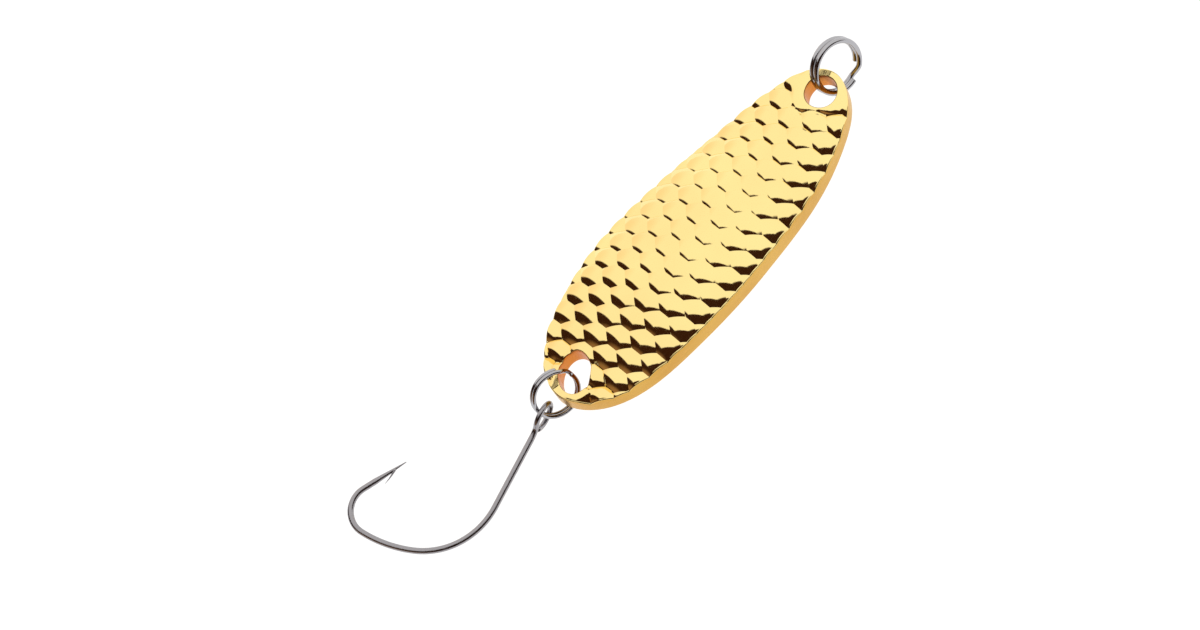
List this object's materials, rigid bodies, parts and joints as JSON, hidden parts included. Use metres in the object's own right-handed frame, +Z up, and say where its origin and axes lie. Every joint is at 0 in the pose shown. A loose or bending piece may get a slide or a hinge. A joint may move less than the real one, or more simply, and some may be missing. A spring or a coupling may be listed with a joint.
{
  "type": "fishing spoon lure",
  "caption": "Elongated S-curved metal spoon lure with a hexagon-faceted golden face, split rings at both ends and a barbed hook on the tail ring.",
  "frame": {"origin": "bottom centre of the whole lure's box, on the surface it lies on", "axes": "+X along the blade from the hook end to the line end, +Y across the blade to the side the hook's point lies on, +Z up out of the patterned face"},
  "size_m": [0.0488, 0.0126, 0.0043],
  "materials": {
    "gold_blade": "bright polished gold plating over faceted metal",
    "bright_ring": "bright nickel-plated spring wire",
    "dark_nickel_hook": "dark nickel plating, glossy"
  },
  "bodies": {
    "blade": {"blade": "gold_blade"},
    "head_split_ring": {"head_split_ring": "bright_ring"},
    "tail_split_ring": {"tail_split_ring": "bright_ring"},
    "hook": {"hook": "dark_nickel_hook"}
  },
  "joints": [
    {"name": "head_ring_swing", "type": "hinge", "parent": "blade", "child": "head_split_ring", "pos_m": [0.02038, -0.00066, 0.00187], "axis": [-0.2269, 0.348, 0.9096], "range_deg": [-90, 90]},
    {"name": "tail_ring_swing", "type": "hinge", "parent": "blade", "child": "tail_split_ring", "pos_m": [-0.00652, -0.00083, 0.00162], "axis": [0.1747, 0.3901, 0.904], "range_deg": [-40, 40]},
    {"name": "hook_swing", "type": "hinge", "parent": "tail_split_ring", "child": "hook", "pos_m": [-0.00981, -0.00057, 0.00116], "axis": [-0.2216, 0.9624, 0.1571], "range_deg": [-100, 100]}
  ]
}
